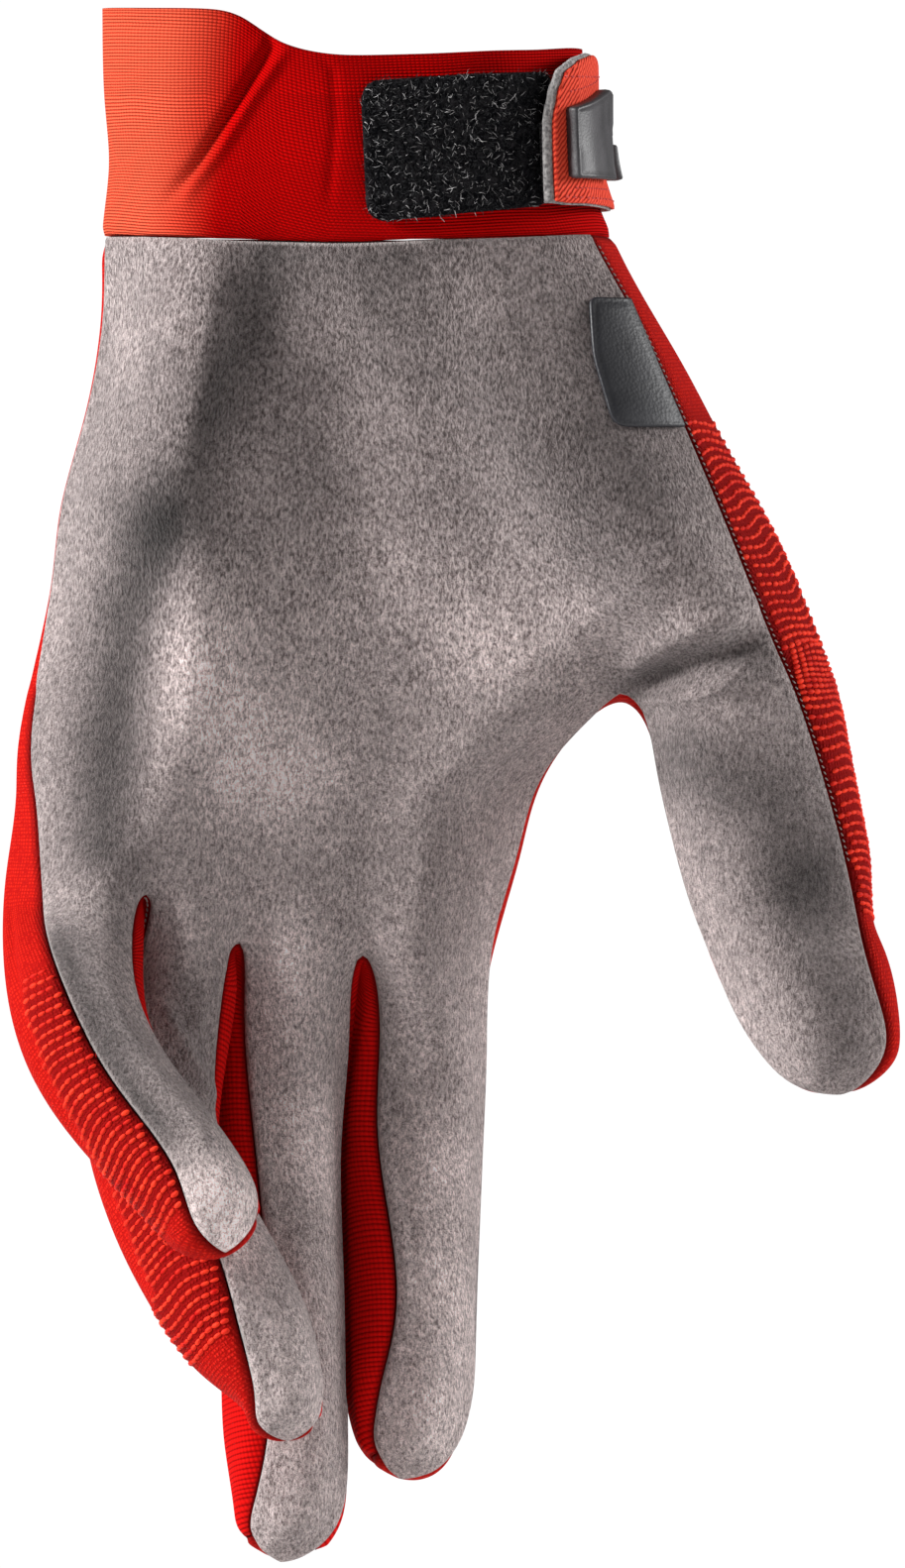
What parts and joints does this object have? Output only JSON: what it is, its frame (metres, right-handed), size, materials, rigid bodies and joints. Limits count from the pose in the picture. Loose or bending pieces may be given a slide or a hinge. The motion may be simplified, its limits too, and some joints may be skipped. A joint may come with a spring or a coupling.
{
  "type": "motocross glove",
  "caption": "Left-hand motocross glove with a grey suede palm, red mesh back, ribbed pull-on cuff and hook-and-loop wrist strap, filled as on a hand, fingers down.",
  "frame": {"origin": "middle of the wrist opening, level with the cuff's edge at the thumb side", "axes": "+Z from the fingertips up to the wrist opening, +X from the little finger to the thumb, the palm faces -Y"},
  "size_m": [0.1403, 0.0785, 0.2434],
  "materials": {
    "suede": "matt grey synthetic suede with a short nap",
    "stretch_mesh": "bright red dimpled stretch mesh",
    "moulded_knit": "orange-red stretch knit with fine ribs round the wrist",
    "ribbed_knit": "deep red ribbed stretch knit",
    "loop_pile": "black loop pile",
    "strap_knit": "orange-red knit with diagonal ribs",
    "hook_pad": "dark hook tape",
    "rubber": "matt dark grey moulded rubber",
    "smooth_patch": "smooth dark synthetic leather"
  },
  "bodies": {
    "root": {"palm": "suede", "back": "stretch_mesh", "cuff": "moulded_knit", "gusset_ring_little": "ribbed_knit", "gusset_middle_ring": "ribbed_knit", "gusset_index_middle": "ribbed_knit", "loop_patch": "loop_pile", "strap": "strap_knit", "strap_hook": "hook_pad", "strap_badge": "rubber", "strap_pull": "rubber", "palm_patch": "smooth_patch"}
  },
  "joints": []
}
